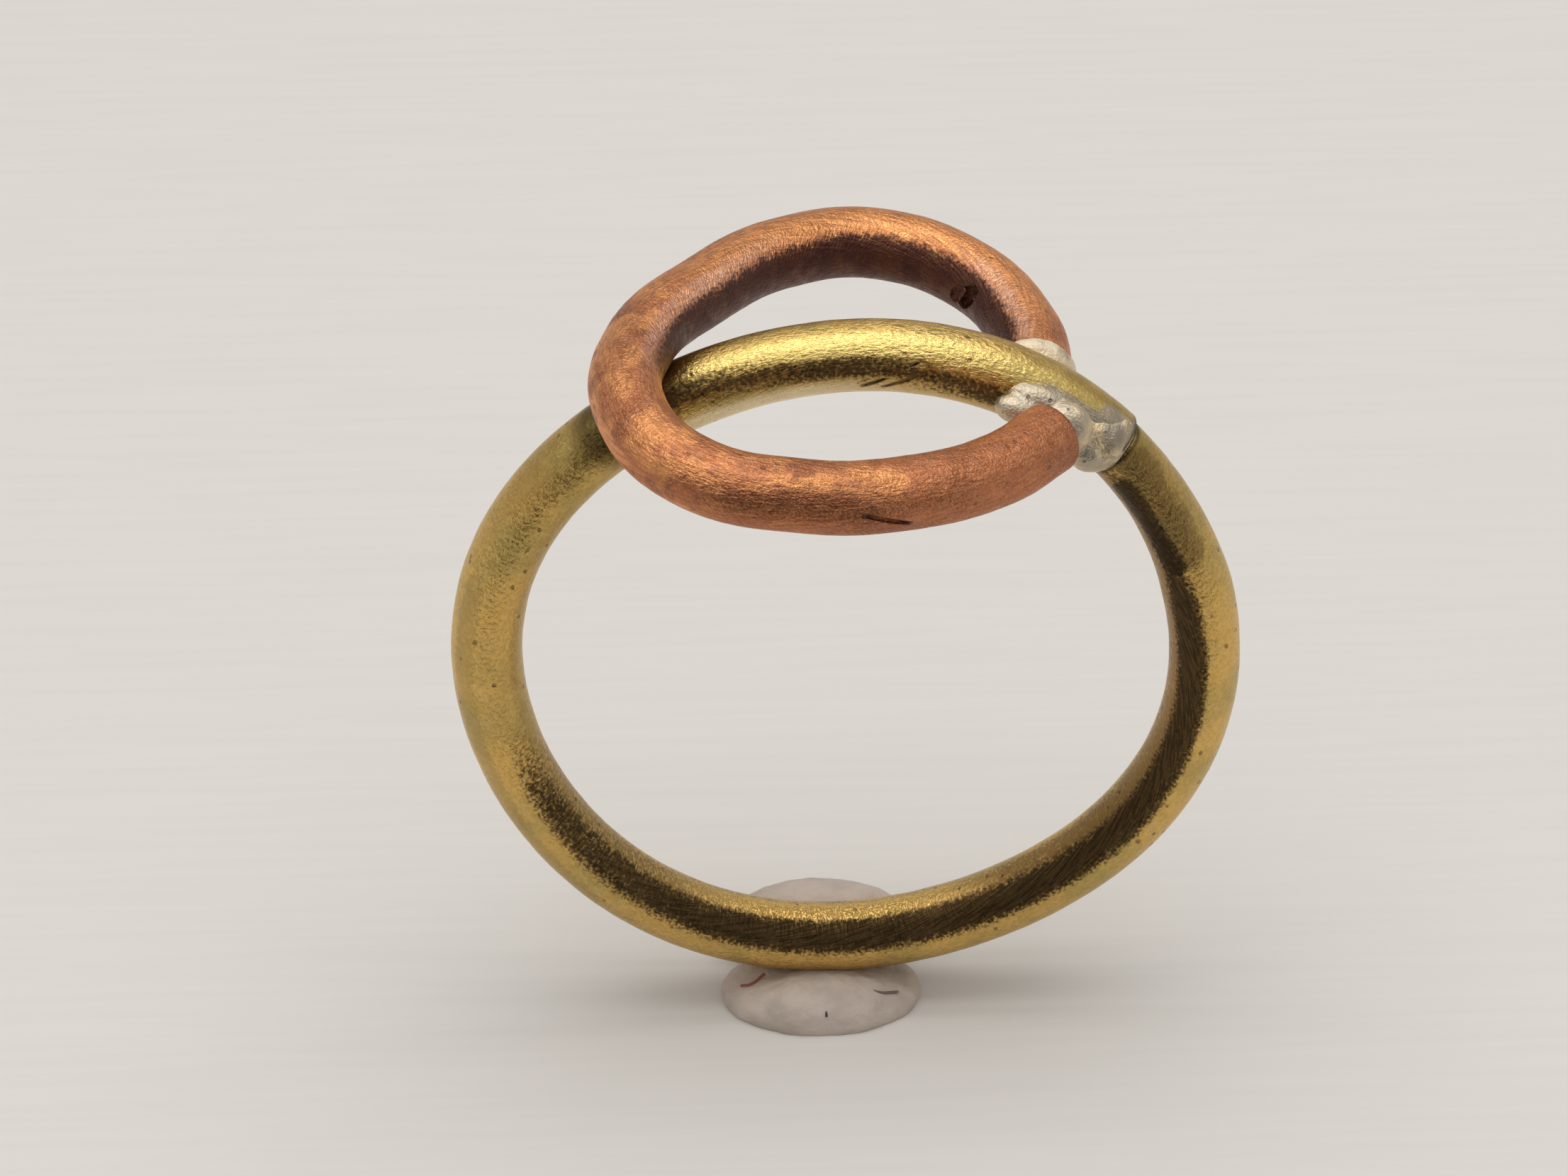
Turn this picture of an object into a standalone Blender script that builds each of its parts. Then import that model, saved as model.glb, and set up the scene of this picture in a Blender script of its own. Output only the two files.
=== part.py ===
"""Wire finger ring: a round brass band that carries a bent copper loop, joined with silver solder.

The band is one length of round wire bent to a circle and butt-soldered. The loop is a second
wire, bent to an open oval. It lies across the top of the band, and its two ends are soldered to
the band's front and back.

Frame: origin at the centre of the finger hole, +Y along the finger, +Z up towards the loop.
Units are metres.
"""
import math

import bmesh
import bpy
from mathutils import Matrix, Vector

MM = 0.001

# Driving dimensions
WIRE_RADIUS = 1.0 * MM          # both wires are 2.0 mm round wire
FINGER_HOLE_RADIUS = 9.09 * MM  # 18.2 mm finger hole
BENDING_ERROR = 0.10 * MM       # how far the hand-bent band strays from a true circle
SEAM_ANGLE = math.radians(44.0)  # from +X towards +Z, on the band's upper right
SEAM_WIDTH = 0.24 * MM          # between the band's two ends
FILED_END_RADIUS = 0.87 * MM    # the band's lower end is filed thinner beside the seam
FILED_LENGTH = math.radians(32.0)
FIT_GAP = 0.05 * MM             # between pieces that touch or are soldered together

LOOP_HEIGHT = 9.61 * MM         # the loop's plane above the centre of the finger hole
LOOP_TILT = math.radians(10.3)  # the loop's plane falls towards the soldered ends, at +X
LOOP_POINTS = [                 # centre line in the loop's plane, from the back end to the front
    (5.40 * MM, 1.20 * MM),
    (5.15 * MM, 3.20 * MM),
    (3.60 * MM, 5.80 * MM),
    (1.20 * MM, 6.70 * MM),
    (-1.50 * MM, 5.65 * MM),
    (-4.00 * MM, 3.00 * MM),
    (-5.80 * MM, 0.00 * MM),
    (-6.10 * MM, -3.30 * MM),
    (-4.50 * MM, -5.80 * MM),
    (-1.60 * MM, -6.30 * MM),
    (1.60 * MM, -5.40 * MM),
    (4.00 * MM, -3.80 * MM),
    (5.45 * MM, -2.05 * MM),
]

# Solder lumps: centre, then half-sizes along the band, along the finger and across the band
FRONT_SOLDER_CENTRE = Vector((6.25, -1.15, 8.20)) * MM
FRONT_SOLDER_LEAN = math.radians(12.0)  # its seam end lies closer to the band than its loop end
FRONT_SOLDER_RADII = Vector((2.00, 1.10, 0.85)) * MM
BACK_SOLDER_CENTRE = Vector((5.20, 1.15, 8.75)) * MM
BACK_SOLDER_RADII = Vector((1.40, 0.60, 1.25)) * MM

# Resolution
BAND_SEGMENTS = 90
LOOP_STEPS = 5                  # segments between two of the loop's points
WIRE_BEVEL = 6                  # 16 sides

BAND_RADIUS = FINGER_HOLE_RADIUS + WIRE_RADIUS


def clear_scene():
    for item in list(bpy.data.objects):
        bpy.data.objects.remove(item, do_unlink=True)


def new_collection(name):
    collection = bpy.data.collections.new(name)
    bpy.context.scene.collection.children.link(collection)
    return collection


def metal(name, colour, roughness):
    material = bpy.data.materials.new(name)
    material.use_nodes = True
    shader = material.node_tree.nodes["Principled BSDF"]
    shader.inputs["Base Color"].default_value = (*colour, 1.0)
    shader.inputs["Metallic"].default_value = 1.0
    shader.inputs["Roughness"].default_value = roughness
    return material


def band_point(angle):
    """A point on the band's centre line; the bending error makes it slightly square."""
    radius = BAND_RADIUS - BENDING_ERROR * math.sin(4.0 * angle)
    return Vector((radius * math.cos(angle), 0.0, radius * math.sin(angle)))


def filed_scale(angle):
    """The wire's thickness, as a share of full, where the lower end is filed towards the seam."""
    along = max(0.0, (angle - (SEAM_ANGLE + 2.0 * math.pi - FILED_LENGTH)) / FILED_LENGTH)
    depth = 1.0 - (1.0 - along) ** 2
    return 1.0 - depth * (1.0 - FILED_END_RADIUS / WIRE_RADIUS)


def wire_curve(name, radius):
    curve = bpy.data.curves.new(name, "CURVE")
    curve.dimensions = "3D"
    curve.bevel_depth = radius
    curve.bevel_resolution = WIRE_BEVEL
    curve.use_fill_caps = True
    return curve


def mesh_from_curve(curve, matrix, collection):
    """The curve as a closed mesh object, with its caps welded on and its place applied."""
    guide = bpy.data.objects.new(curve.name, curve)
    bpy.context.scene.collection.objects.link(guide)
    graph = bpy.context.evaluated_depsgraph_get()
    mesh = bpy.data.meshes.new_from_object(guide.evaluated_get(graph))
    bpy.data.objects.remove(guide, do_unlink=True)
    shape = bmesh.new()
    shape.from_mesh(mesh)
    bmesh.ops.remove_doubles(shape, verts=shape.verts, dist=0.001 * MM)
    bmesh.ops.transform(shape, matrix=matrix, verts=shape.verts)
    shape.to_mesh(mesh)
    shape.free()
    mesh.shade_smooth()
    mesh.set_sharp_from_angle(angle=math.radians(40.0))
    piece = bpy.data.objects.new(curve.name, mesh)
    collection.objects.link(piece)
    return piece


def make_band(name, collection):
    """The band's wire, from the upper side of the seam round to its lower side."""
    half_seam = 0.5 * SEAM_WIDTH / BAND_RADIUS
    start = SEAM_ANGLE + half_seam
    sweep = 2.0 * math.pi - 2.0 * half_seam
    curve = wire_curve(name, WIRE_RADIUS)
    line = curve.splines.new("POLY")
    line.points.add(BAND_SEGMENTS)
    for index, point in enumerate(line.points):
        angle = start + sweep * index / BAND_SEGMENTS
        point.co = (*band_point(angle), 1.0)
        point.radius = filed_scale(angle)
    return mesh_from_curve(curve, Matrix.Identity(4), collection)


def make_band_cutter(collection):
    """The band's wire and the gap around it, as a ring without a seam."""
    curve = wire_curve("band_cutter", WIRE_RADIUS + FIT_GAP)
    line = curve.splines.new("POLY")
    line.points.add(BAND_SEGMENTS - 1)
    line.use_cyclic_u = True
    for index, point in enumerate(line.points):
        point.co = (*band_point(2.0 * math.pi * index / BAND_SEGMENTS), 1.0)
    return as_cutter(mesh_from_curve(curve, Matrix.Identity(4), collection))


def loop_matrix():
    """From the loop's own plane to the ring's frame."""
    return Matrix.Translation((0.0, 0.0, LOOP_HEIGHT)) @ Matrix.Rotation(LOOP_TILT, 4, "Y")


def make_loop(name, collection, extra=0.0):
    """The loop's wire; extra makes it thicker and longer by that much at each end."""
    points = [Vector((across, along, 0.0)) for across, along in LOOP_POINTS]
    points[0] += extra * (points[0] - points[1]).normalized()
    points[-1] += extra * (points[-1] - points[-2]).normalized()
    curve = wire_curve(name, WIRE_RADIUS + extra)
    curve.resolution_u = LOOP_STEPS
    line = curve.splines.new("BEZIER")
    line.bezier_points.add(len(points) - 1)
    for knot, point in zip(line.bezier_points, points):
        knot.co = point
        knot.handle_left_type = "AUTO"
        knot.handle_right_type = "AUTO"
    return mesh_from_curve(curve, loop_matrix(), collection)


def as_cutter(piece):
    piece.hide_render = True
    piece.display_type = "WIRE"
    return piece


def cut(piece, cutter):
    modifier = piece.modifiers.new(cutter.name, "BOOLEAN")
    modifier.operation = "DIFFERENCE"
    modifier.solver = "EXACT"
    modifier.object = cutter


def move_to(piece, collection):
    for holder in list(piece.users_collection):
        holder.objects.unlink(piece)
    collection.objects.link(piece)


def band_direction(point):
    """The band's own direction beside a point: clockwise as seen from the front."""
    return Vector((point.z, 0.0, -point.x)).normalized()


def make_solder(name, collection, centre, radii, lean, cutters):
    """A lump of solder that fills the corner between the wires."""
    bpy.ops.mesh.primitive_uv_sphere_add(segments=24, ring_count=14, radius=1.0)
    lump = bpy.context.object
    lump.name = name
    lump.data.name = name
    along = band_direction(centre)
    turn = Matrix((along, (0.0, 1.0, 0.0), along.cross((0.0, 1.0, 0.0)))).transposed().to_4x4()
    turn @= Matrix.Rotation(lean, 4, "Z")
    lump.data.transform(Matrix.Translation(centre) @ turn @ Matrix.Diagonal((*radii, 1.0)))
    lump.data.shade_smooth()
    lump.data.set_sharp_from_angle(angle=math.radians(40.0))
    move_to(lump, collection)
    for cutter in cutters:
        cut(lump, cutter)
    return lump


def make_seam_solder(name, collection):
    """The thin disc of solder between the band's two ends."""
    bpy.ops.mesh.primitive_cylinder_add(
        vertices=24,
        radius=FILED_END_RADIUS,
        depth=SEAM_WIDTH - 2.0 * FIT_GAP,
    )
    disc = bpy.context.object
    disc.name = name
    disc.data.name = name
    step = 0.5 * SEAM_WIDTH / BAND_RADIUS
    along = (band_point(SEAM_ANGLE + step) - band_point(SEAM_ANGLE - step)).normalized()
    turn = along.to_track_quat("Z", "Y").to_matrix().to_4x4()
    disc.data.transform(Matrix.Translation(band_point(SEAM_ANGLE)) @ turn)
    move_to(disc, collection)
    return disc


def main():
    clear_scene()
    ring = new_collection("wire_finger_ring")
    cutters = new_collection("cutters")

    brass = metal("brass", (0.45, 0.31, 0.10), 0.38)
    copper = metal("copper", (0.55, 0.22, 0.11), 0.42)
    solder = metal("solder", (0.52, 0.49, 0.44), 0.50)

    make_band("brass_band", ring).data.materials.append(brass)
    make_loop("copper_loop", ring).data.materials.append(copper)

    wires = [make_band_cutter(cutters), as_cutter(make_loop("loop_cutter", cutters, FIT_GAP))]
    lumps = [
        make_solder(
            "front_joint_solder",
            ring,
            FRONT_SOLDER_CENTRE,
            FRONT_SOLDER_RADII,
            FRONT_SOLDER_LEAN,
            wires,
        ),
        make_solder("back_joint_solder", ring, BACK_SOLDER_CENTRE, BACK_SOLDER_RADII, 0.0, wires),
        make_seam_solder("seam_solder", ring),
    ]
    for lump in lumps:
        lump.data.materials.append(solder)


main()
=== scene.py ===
# %% [markdown]
# # A wire ring, soldered by hand
#
# The object is a finger ring made from two pieces of 2 mm wire. A brass wire goes round the
# finger, and a copper wire, bent to an open loop, lies across its top. Silver solder holds the
# loop's two ends and closes the band. The CAD model gives every piece its place and size. This
# script makes the surfaces: the round wires with their filed ends and nicks, the lumps of
# solder, and the satin metals.

import math

import bpy
from mathutils import Matrix, Vector
from mathutils.kdtree import KDTree


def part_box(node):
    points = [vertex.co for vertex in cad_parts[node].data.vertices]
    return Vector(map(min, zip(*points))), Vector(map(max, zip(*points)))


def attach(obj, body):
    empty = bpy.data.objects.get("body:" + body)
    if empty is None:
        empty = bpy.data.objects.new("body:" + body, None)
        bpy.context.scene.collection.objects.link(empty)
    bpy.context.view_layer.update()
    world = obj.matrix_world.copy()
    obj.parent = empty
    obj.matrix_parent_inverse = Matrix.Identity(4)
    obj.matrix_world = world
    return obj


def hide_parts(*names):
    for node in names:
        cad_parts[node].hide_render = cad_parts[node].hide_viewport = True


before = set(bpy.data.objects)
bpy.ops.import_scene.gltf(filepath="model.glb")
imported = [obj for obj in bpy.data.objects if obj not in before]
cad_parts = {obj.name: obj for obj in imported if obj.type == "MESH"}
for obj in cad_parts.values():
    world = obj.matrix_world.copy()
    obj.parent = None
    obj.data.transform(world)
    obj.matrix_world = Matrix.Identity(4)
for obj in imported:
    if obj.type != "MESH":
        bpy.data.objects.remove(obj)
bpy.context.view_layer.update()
MM = 0.001
print("CAD nodes:", sorted(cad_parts))

# %% [markdown]
# ## Sizes
#
# The wire's thickness is the band's depth along the finger, and the band's radius follows from
# its width. What a box cannot say is repeated from the CAD design: the seam's place, the filing
# beside it, and the loop's route. Three deep marks are given by their two ends, in millimetres;
# they are cut into the metal and also darkened in its material.

# %% Sizes from the frame
band_low, band_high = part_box("brass_band")
WIRE_RADIUS = 0.5 * (band_high[1] - band_low[1])
BAND_RADIUS = 0.5 * (band_high[0] - band_low[0]) - WIRE_RADIUS
BENDING_ERROR = 0.10 * MM
SEAM_ANGLE = math.radians(44.0)
SEAM_WIDTH = 0.13 * MM
FILED_END_RADIUS = 0.87 * MM
FILED_LENGTH = math.radians(32.0)
BAND_LENGTH = 2.0 * math.pi * BAND_RADIUS - SEAM_WIDTH

LOOP_HEIGHT = 9.57 * MM
LOOP_TILT = math.radians(10.3)
LOOP_POINTS = [
    (5.40, 1.05),
    (5.15, 3.20),
    (3.60, 5.80),
    (1.20, 6.70),
    (-1.50, 5.65),
    (-4.00, 3.00),
    (-5.80, 0.00),
    (-6.10, -3.30),
    (-4.50, -5.80),
    (-1.60, -6.30),
    (1.60, -5.40),
    (4.00, -3.80),
    (5.45, -2.05),
]
LONG_FILE_CUT = ((0.35, -0.94, 9.70), (1.94, -0.89, 10.44))
SHORT_FILE_CUT = ((0.90, -0.91, 9.64), (1.92, -1.00, 10.09))
LOOP_GOUGE = ((0.10, -7.05, 9.68), (1.34, -6.54, 9.06))
print("wire radius", round(WIRE_RADIUS / MM, 3), "band radius", round(BAND_RADIUS / MM, 3), "mm")

# %% [markdown]
# ## Camera
#
# The ring is seen from above its front. A small object is usually shown through a long lens from
# some way off, so that its far side hardly shrinks; a short lens close by would make the copper
# loop look too big for the band. The lens follows from the distance and the width to take in.

# %% Camera
CAMERA_DISTANCE = 200.0 * MM
CAMERA_RISE = math.radians(36.18)
CAMERA_SWING = math.radians(-2.905)
CAMERA_TARGET = Vector((-1.762, 0.0, 2.331)) * MM
SENSOR_WIDTH = 36.0
VIEW_WIDTH = 44.11 * MM         # what the frame takes in at the ring's distance

camera_data = bpy.data.cameras.new("camera")
camera_data.sensor_width = SENSOR_WIDTH
camera_data.lens = SENSOR_WIDTH * CAMERA_DISTANCE / VIEW_WIDTH
camera_data.clip_start = 1.0 * MM
camera_data.clip_end = 10.0
camera = bpy.data.objects.new("camera", camera_data)
bpy.context.scene.collection.objects.link(camera)
camera.location = CAMERA_DISTANCE * Vector((
    math.sin(CAMERA_SWING) * math.cos(CAMERA_RISE),
    -math.cos(CAMERA_SWING) * math.cos(CAMERA_RISE),
    math.sin(CAMERA_RISE),
))
camera.rotation_euler = (CAMERA_TARGET - camera.location).to_track_quat("-Z", "Y").to_euler()
bpy.context.scene.camera = camera
print("lens", round(camera_data.lens, 1), "mm")

# %% [markdown]
# ## Wiring shader nodes
#
# A material is a graph of small nodes. It could be drawn with the mouse in the shader editor; in
# a script it is easier to read as a chain of named masks. These helpers add a node, fill its
# sockets with numbers or with the outputs of other nodes, and give the short sums a name.


# %% Node helpers
def add_node(tree, kind, sockets, **settings):
    """Add a node; each named or numbered socket takes a value or another node's output."""
    node = tree.nodes.new(kind)
    for name, value in settings.items():
        setattr(node, name, value)
    for key, value in sockets.items():
        if isinstance(value, bpy.types.NodeSocket):
            tree.links.new(value, node.inputs[key])
        else:
            node.inputs[key].default_value = value
    return node


def calculate(tree, operation, *values):
    """A Math node's result."""
    return add_node(tree, "ShaderNodeMath", dict(enumerate(values)), operation=operation).outputs[0]


def ramp(tree, value, low, high):
    """0 below low, 1 above high, and a smooth rise between; low may be the larger one."""
    sockets = {"Value": value, "From Min": low, "From Max": high}
    node = add_node(tree, "ShaderNodeMapRange", sockets, interpolation_type="SMOOTHSTEP")
    return node.outputs["Result"]


def blend(tree, mask, below, above):
    """One colour over another."""
    below = below if isinstance(below, bpy.types.NodeSocket) else (*below, 1.0)
    above = above if isinstance(above, bpy.types.NodeSocket) else (*above, 1.0)
    sockets = {0: mask, 6: below, 7: above}
    return add_node(tree, "ShaderNodeMix", sockets, data_type="RGBA").outputs[2]


def coat(tree, colour, over, mask, strength=1.0):
    """Lay a thin coat of another colour over a colour, where the mask is 1."""
    return blend(tree, calculate(tree, "MULTIPLY", mask, strength), colour, over)


def blend_value(tree, mask, below, above):
    """One number over another."""
    sockets = {0: mask, 2: below, 3: above}
    return add_node(tree, "ShaderNodeMix", sockets, data_type="FLOAT").outputs[0]


def direction_mask(tree, vector, direction, low, high):
    """1 where a vector points along a direction, with a smooth edge."""
    sockets = {0: vector, 1: direction}
    dot = add_node(tree, "ShaderNodeVectorMath", sockets, operation="DOT_PRODUCT")
    return ramp(tree, dot.outputs["Value"], low, high)


# %% [markdown]
# ## Effects that all the metals share
#
# Hand-worked metal shows the same few things everywhere: cloudy patches, streaks left by a file
# or by sandpaper, and small pits. They could be copied into each material, but then a change
# would have to be made three times. So each is a node group, built once, and placed in a
# material with its own size and strength. The sizes are metres, as on a ruler.


# %% Node groups
def new_group(name, inputs):
    """A node group with the given inputs and one mask output."""
    group = bpy.data.node_groups.new(name, "ShaderNodeTree")
    for label, kind, value in inputs:
        socket = group.interface.new_socket(label, in_out="INPUT", socket_type=kind)
        socket.default_value = value
    group.interface.new_socket("Mask", in_out="OUTPUT", socket_type="NodeSocketFloat")
    start = group.nodes.new("NodeGroupInput")
    end = group.nodes.new("NodeGroupOutput")
    return group, start.outputs, end.inputs


def masked(tree, value, sockets):
    """Keep what lies between the group's Low and High."""
    return ramp(tree, value, sockets["Low"], sockets["High"])


VECTOR = "NodeSocketVector"
FLOAT = "NodeSocketFloat"

patches, start, end = new_group("patches", [
    ("Vector", VECTOR, (0.0, 0.0, 0.0)),
    ("Size", FLOAT, 1.0 * MM),
    ("Detail", FLOAT, 4.0),
    ("Low", FLOAT, 0.4),
    ("High", FLOAT, 0.6),
])
sockets = {
    "Vector": start["Vector"],
    "Scale": calculate(patches, "DIVIDE", 1.0, start["Size"]),
    "Detail": start["Detail"],
}
noise = add_node(patches, "ShaderNodeTexNoise", sockets)
patches.links.new(masked(patches, noise.outputs["Fac"], start), end["Mask"])

streaks, start, end = new_group("streaks", [
    ("Vector", VECTOR, (0.0, 0.0, 0.0)),
    ("Lean", FLOAT, 0.0),
    ("Length", FLOAT, 2.0 * MM),
    ("Width", FLOAT, 0.1 * MM),
    ("Low", FLOAT, 0.4),
    ("High", FLOAT, 0.6),
])
sockets = {"Vector": start["Vector"], "Axis": (0.0, 0.7071, -0.7071), "Angle": start["Lean"]}
leaning = add_node(streaks, "ShaderNodeVectorRotate", sockets, rotation_type="AXIS_ANGLE")
along = calculate(streaks, "DIVIDE", 1.0, start["Length"])
across = calculate(streaks, "DIVIDE", 1.0, start["Width"])
stretch = add_node(streaks, "ShaderNodeCombineXYZ", {"X": along, "Y": across, "Z": across})
sockets = {0: leaning.outputs["Vector"], 1: stretch.outputs["Vector"]}
stretched = add_node(streaks, "ShaderNodeVectorMath", sockets, operation="MULTIPLY")
sockets = {"Vector": stretched.outputs["Vector"], "Scale": 1.0, "Detail": 3.0}
noise = add_node(streaks, "ShaderNodeTexNoise", sockets)
streaks.links.new(masked(streaks, noise.outputs["Fac"], start), end["Mask"])

pits, start, end = new_group("pits", [
    ("Vector", VECTOR, (0.0, 0.0, 0.0)),
    ("Spacing", FLOAT, 0.5 * MM),
    ("Low", FLOAT, 0.30),
    ("High", FLOAT, 0.15),
])
sockets = {"Vector": start["Vector"], "Scale": calculate(pits, "DIVIDE", 1.0, start["Spacing"])}
cells = add_node(pits, "ShaderNodeTexVoronoi", sockets)
pits.links.new(masked(pits, cells.outputs["Distance"], start), end["Mask"])
print("node groups:", [group.name for group in bpy.data.node_groups])


def effect(tree, group, vector, **sockets):
    """Place a group in a material and give back its mask."""
    node = tree.nodes.new("ShaderNodeGroup")
    node.node_tree = group
    tree.links.new(vector, node.inputs["Vector"])
    for name, value in sockets.items():
        node.inputs[name].default_value = value
    return node.outputs["Mask"]


# %% [markdown]
# ## Where a mark sits on the wire
#
# A wire's marks follow it round its bends, which plain object coordinates can't do. A UV map
# could, but it has a cut along the wire that would show in the noise. The mesh therefore stores,
# for each vertex, its place on the wire as if the wire were straight: the distance along it, and
# two offsets across it. The noise reads that, and a dark stripe along one side of the wire is a
# direction in it. Marks in one spot are balls or lines in plain object coordinates.


# %% Reading the wire's own coordinates
def new_material(name):
    """A new material, with its node tree and its Principled shader."""
    material = bpy.data.materials.new(name)
    material.use_nodes = True
    tree = material.node_tree
    return material, tree, tree.nodes["Principled BSDF"]


def object_place(tree):
    """A point's place on the object, in metres."""
    return tree.nodes.new("ShaderNodeTexCoord").outputs["Object"]


def wire_place(tree):
    """Along the wire, away from the bend's centre, and to the bend's side, in metres."""
    node = add_node(tree, "ShaderNodeAttribute", {}, attribute_name="straight")
    return node.outputs["Vector"]


def stripe(tree, place, angle, low, high):
    """A stripe along the wire: 0 degrees is the bend's side, 90 degrees is away from its centre."""
    turn = math.radians(angle)
    direction = (0.0, math.sin(turn) / WIRE_RADIUS, math.cos(turn) / WIRE_RADIUS)
    return direction_mask(tree, place, direction, low, high)


def toward(tree, place, x, y, z, low, high):
    """A mask by place on the whole ring: low and high are millimetres along the direction."""
    direction = Vector((x, y, z)).normalized()
    return direction_mask(tree, place, direction, low * MM, high * MM)


def near(tree, place, centre, inner, outer):
    """1 inside a ball of the inner radius and 0 outside the outer one, in millimetres."""
    sockets = {0: place, 1: Vector(centre) * MM}
    gap = add_node(tree, "ShaderNodeVectorMath", sockets, operation="DISTANCE")
    return ramp(tree, gap.outputs["Value"], outer * MM, inner * MM)


def scratch(tree, place, start, end, width):
    """A line from start to end, in millimetres, that fades out at its own width."""
    start = Vector(start) * MM
    line = Vector(end) * MM - start
    offset = add_node(tree, "ShaderNodeVectorMath", {0: place, 1: start}, operation="SUBTRACT")
    offset = offset.outputs["Vector"]
    sockets = {0: offset, 1: line / line.length_squared}
    share = add_node(tree, "ShaderNodeVectorMath", sockets, operation="DOT_PRODUCT")
    share = calculate(tree, "MAXIMUM", share.outputs["Value"], 0.0)
    share = calculate(tree, "MINIMUM", share, 1.0)
    sockets = {0: line, "Scale": share}
    nearest = add_node(tree, "ShaderNodeVectorMath", sockets, operation="SCALE")
    sockets = {0: offset, 1: nearest.outputs["Vector"]}
    gap = add_node(tree, "ShaderNodeVectorMath", sockets, operation="DISTANCE")
    return ramp(tree, gap.outputs["Value"], width * MM, 0.4 * width * MM)


def times(tree, *masks):
    """Masks multiplied, which keeps only what they all cover."""
    result = masks[0]
    for mask in masks[1:]:
        result = calculate(tree, "MULTIPLY", result, mask)
    return result


def roughened(tree, mask, noise, amount):
    """Break up a mask's smooth edge with noise, and leave what lies outside it clean."""
    shifted = calculate(tree, "MULTIPLY_ADD", noise, amount, mask)
    broken = ramp(tree, shifted, 0.5 * amount + 0.10, 0.5 * amount + 0.80)
    return times(tree, broken, ramp(tree, mask, 0.02, 0.25))


def relief(tree, shader, depth, *layers):
    """Add weighted height layers and wire them to the normal; depth is in millimetres."""
    total = None
    for weight, layer in layers:
        scaled = calculate(tree, "MULTIPLY", layer, weight)
        total = scaled if total is None else calculate(tree, "ADD", total, scaled)
    bump = add_node(tree, "ShaderNodeBump", {"Height": total, "Distance": depth * MM})
    tree.links.new(bump.outputs["Normal"], shader.inputs["Normal"])


# %% [markdown]
# ## Brass
#
# Filed and sanded brass is satin, and its colour wanders between gold and olive. One flat colour
# would look like plastic, and a painted picture would need a file from outside. Noise masks give
# the clouds, the grain and the marks of the file instead, and each one lays a thin coat of
# another colour over the metal.

# %% Brass: the bare metal
GOLD = (0.72, 0.45, 0.13)
OLIVE = (0.50, 0.355, 0.110)
PALE_GOLD = (0.82, 0.60, 0.23)
DUSKY_GOLD = (0.36, 0.25, 0.08)

brass, tree, shader = new_material("brass")
place = object_place(tree)
wire = wire_place(tree)
cloud = effect(tree, patches, place, Size=2.2 * MM, Detail=3.0, Low=0.38, High=0.66)
mottle = effect(tree, patches, wire, Size=0.45 * MM, Detail=4.0, Low=0.35, High=0.75)
grain = effect(tree, patches, wire, Size=0.12 * MM, Detail=4.0, Low=0.38, High=0.68)
file_marks = effect(
    tree, streaks, wire, Lean=0.75, Length=3.0 * MM, Width=0.12 * MM, Low=0.42, High=0.62)
file_strength = near(tree, place, (2.2, -0.8, 10.3), 1.0, 3.6)
filed = times(tree, file_marks, calculate(tree, "MULTIPLY_ADD", file_strength, 0.75, 0.25))

colour = blend(tree, cloud, GOLD, OLIVE)
colour = coat(tree, colour, PALE_GOLD, mottle, 0.30)
colour = coat(tree, colour, PALE_GOLD, filed, 0.60)
colour = coat(tree, colour, DUSKY_GOLD, grain, 0.30)
print("bare brass:", len(tree.nodes), "nodes")

# %% [markdown]
# ### Brown edges
#
# The flame of the soldering torch left a skin of oxide, which stays along the inner front edge
# where the file did not reach. It starts at the joint, runs down the right side and fades out on
# the lower left. Its thin edge is brown, and short ridges cross it at the lower left.

# %% Brass: brown oxide and ridges
BROWN_OXIDE = (0.26, 0.145, 0.055)

speckle = effect(tree, patches, wire, Size=0.10 * MM, Detail=5.0, Low=0.25, High=0.75)
flame_side = toward(tree, place, 0.55, 0.0, -0.75, -4.5, -0.8)
ridged_side = toward(tree, place, -0.45, 0.0, -0.9, 5.0, 8.5)
ridged_zone = times(tree, ridged_side, stripe(tree, wire, -62.0, 0.55, 0.90))
ridges = effect(
    tree, streaks, wire, Lean=1.45, Length=0.8 * MM, Width=0.08 * MM, Low=0.42, High=0.60)
ridges = times(tree, ridges, ridged_zone)
brown = times(tree, flame_side, stripe(tree, wire, -52.0, 0.50, 0.95))
brown = roughened(tree, calculate(tree, "MAXIMUM", brown, ridged_zone), speckle, 1.2)
colour = coat(tree, colour, BROWN_OXIDE, brown, 0.80)
colour = coat(tree, colour, PALE_GOLD, ridges, 0.50)
print("with brown oxide:", len(tree.nodes), "nodes")

# %% [markdown]
# ### Painted highlights and painted reflection
#
# Three strips are painted lighter in place of light: a painted highlight along the inner side at
# the bottom, a painted reflection of the pale floor on the paler lower side of the top on its left
# half, and a painted highlight in a line along the top.

# %% Brass: painted highlights and painted reflection
BOTTOM_HIGHLIGHT_GOLD = (0.98, 0.64, 0.20)
FLOOR_REFLECTION_GOLD = (0.90, 0.74, 0.46)
TOP_HIGHLIGHT_GOLD = (0.95, 0.74, 0.26)

bottom = toward(tree, place, -0.05, 0.0, -1.0, 7.5, 9.5)
# Painted highlight: a lighter strip along the inner side of the bottom.
painted_bottom_highlight = times(tree, bottom, stripe(tree, wire, -84.0, 0.90, 0.98))
top = toward(tree, place, 0.15, 0.0, 1.0, 5.5, 8.5)
# Painted reflection: the lower side of the top, on its left half, is painted pale for the floor it
# mirrors.
painted_floor_reflection = times(tree, top, stripe(tree, wire, -38.0, 0.80, 0.98),
                  toward(tree, place, -1.0, 0.0, 0.0, -3.0, 2.0))
# Painted highlight: a lighter line along the top of the band, for the softbox overhead.
painted_top_highlight = times(tree, top, stripe(tree, wire, 50.0, 0.88, 1.0))
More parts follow.
